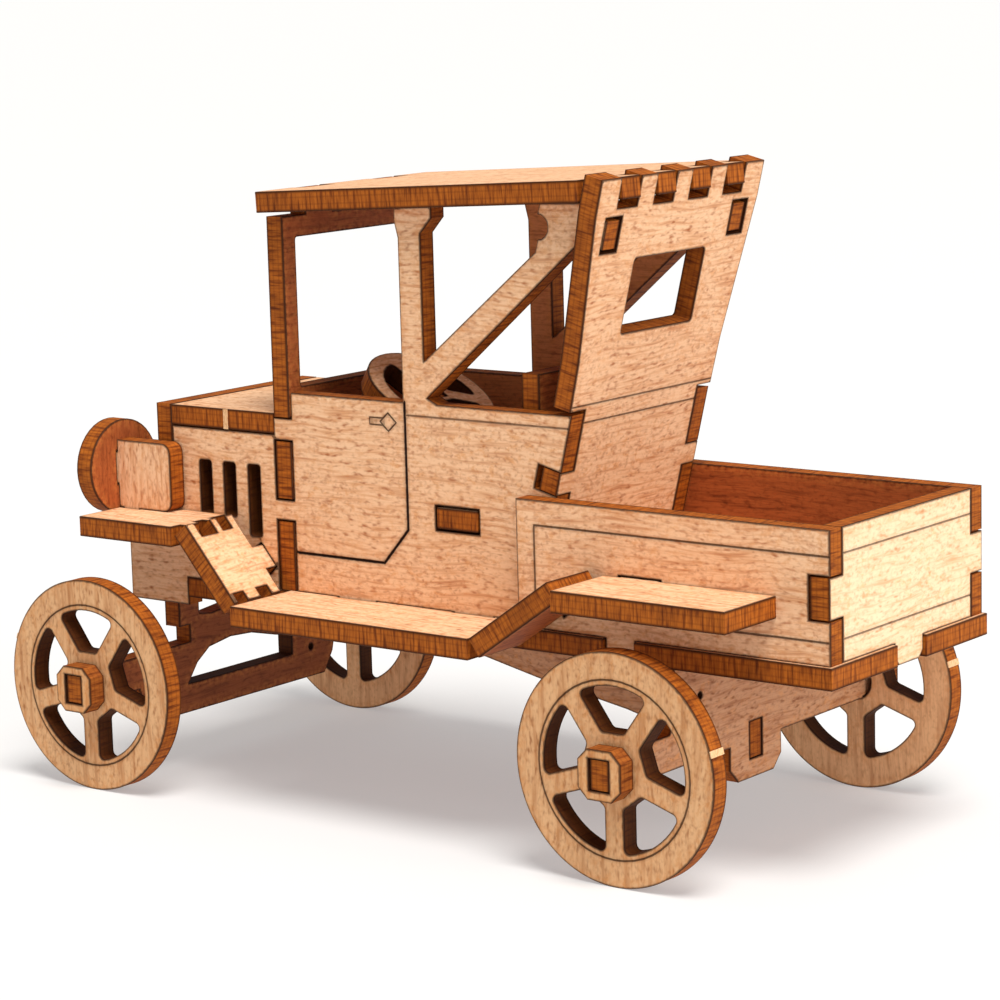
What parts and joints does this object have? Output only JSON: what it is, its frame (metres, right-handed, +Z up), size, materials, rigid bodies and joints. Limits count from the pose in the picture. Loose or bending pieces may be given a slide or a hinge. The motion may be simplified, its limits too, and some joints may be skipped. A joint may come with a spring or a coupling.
{
  "type": "wooden 3d jigsaw model",
  "caption": "Slot-together plywood pickup truck with an open cab, a leaning cab back, a plank-sided load bed and spoked wheels that turn on square-cut axle ends.",
  "frame": {"origin": "on the surface the wheels stand on, under the centre of the model's bounding box", "axes": "+X towards the bonnet, +Y the truck's left, +Z up"},
  "size_m": [0.1366, 0.0694, 0.0916],
  "materials": {
    "plywood_body": "satin",
    "plywood_chassis": "matte",
    "plywood_wheel": "satin",
    "plywood_cap": "matte"
  },
  "bodies": {
    "chassis": {"deck": "plywood_body", "body_side_left": "plywood_body", "body_side_right": "plywood_body", "bed_side_left": "plywood_body", "bed_side_right": "plywood_body", "front_fender_top_left": "plywood_body", "front_fender_top_right": "plywood_body", "rear_fender_top_left": "plywood_body", "rear_fender_top_right": "plywood_body", "front_fender_slope_left": "plywood_body", "front_fender_slope_right": "plywood_body", "rear_fender_slope_left": "plywood_body", "rear_fender_slope_right": "plywood_body", "headlight_bracket_left": "plywood_body", "headlight_bracket_right": "plywood_body", "headlight_disc_left": "plywood_body", "headlight_disc_right": "plywood_body", "radiator_plate": "plywood_body", "bonnet_top": "plywood_body", "windscreen_frame": "plywood_body", "cab_back": "plywood_body", "roof": "plywood_body", "seat_base": "plywood_body", "seat_back": "plywood_body", "steering_column": "plywood_body", "steering_wheel": "plywood_body", "tailgate": "plywood_body", "front_axle_plate": "plywood_chassis", "rear_axle_plate": "plywood_chassis", "chassis_spine": "plywood_chassis", "hub_cap_front_left": "plywood_cap", "hub_cap_front_right": "plywood_cap", "hub_cap_rear_left": "plywood_cap", "hub_cap_rear_right": "plywood_cap"},
    "wheel_front_left": {"wheel_front_left": "plywood_wheel"},
    "wheel_front_right": {"wheel_front_right": "plywood_wheel"},
    "wheel_rear_left": {"wheel_rear_left": "plywood_wheel"},
    "wheel_rear_right": {"wheel_rear_right": "plywood_wheel"}
  },
  "joints": [
    {"name": "spin_front_left", "type": "hinge", "parent": "chassis", "child": "wheel_front_left", "pos_m": [0.05255, 0.03, 0.0157], "axis": [0, 1, 0], "continuous": true},
    {"name": "spin_front_right", "type": "hinge", "parent": "chassis", "child": "wheel_front_right", "pos_m": [0.05255, -0.03, 0.0157], "axis": [0, 1, 0], "continuous": true},
    {"name": "spin_rear_left", "type": "hinge", "parent": "chassis", "child": "wheel_rear_left", "pos_m": [-0.04205, 0.03, 0.0157], "axis": [0, 1, 0], "continuous": true},
    {"name": "spin_rear_right", "type": "hinge", "parent": "chassis", "child": "wheel_rear_right", "pos_m": [-0.04205, -0.03, 0.0157], "axis": [0, 1, 0], "continuous": true}
  ]
}
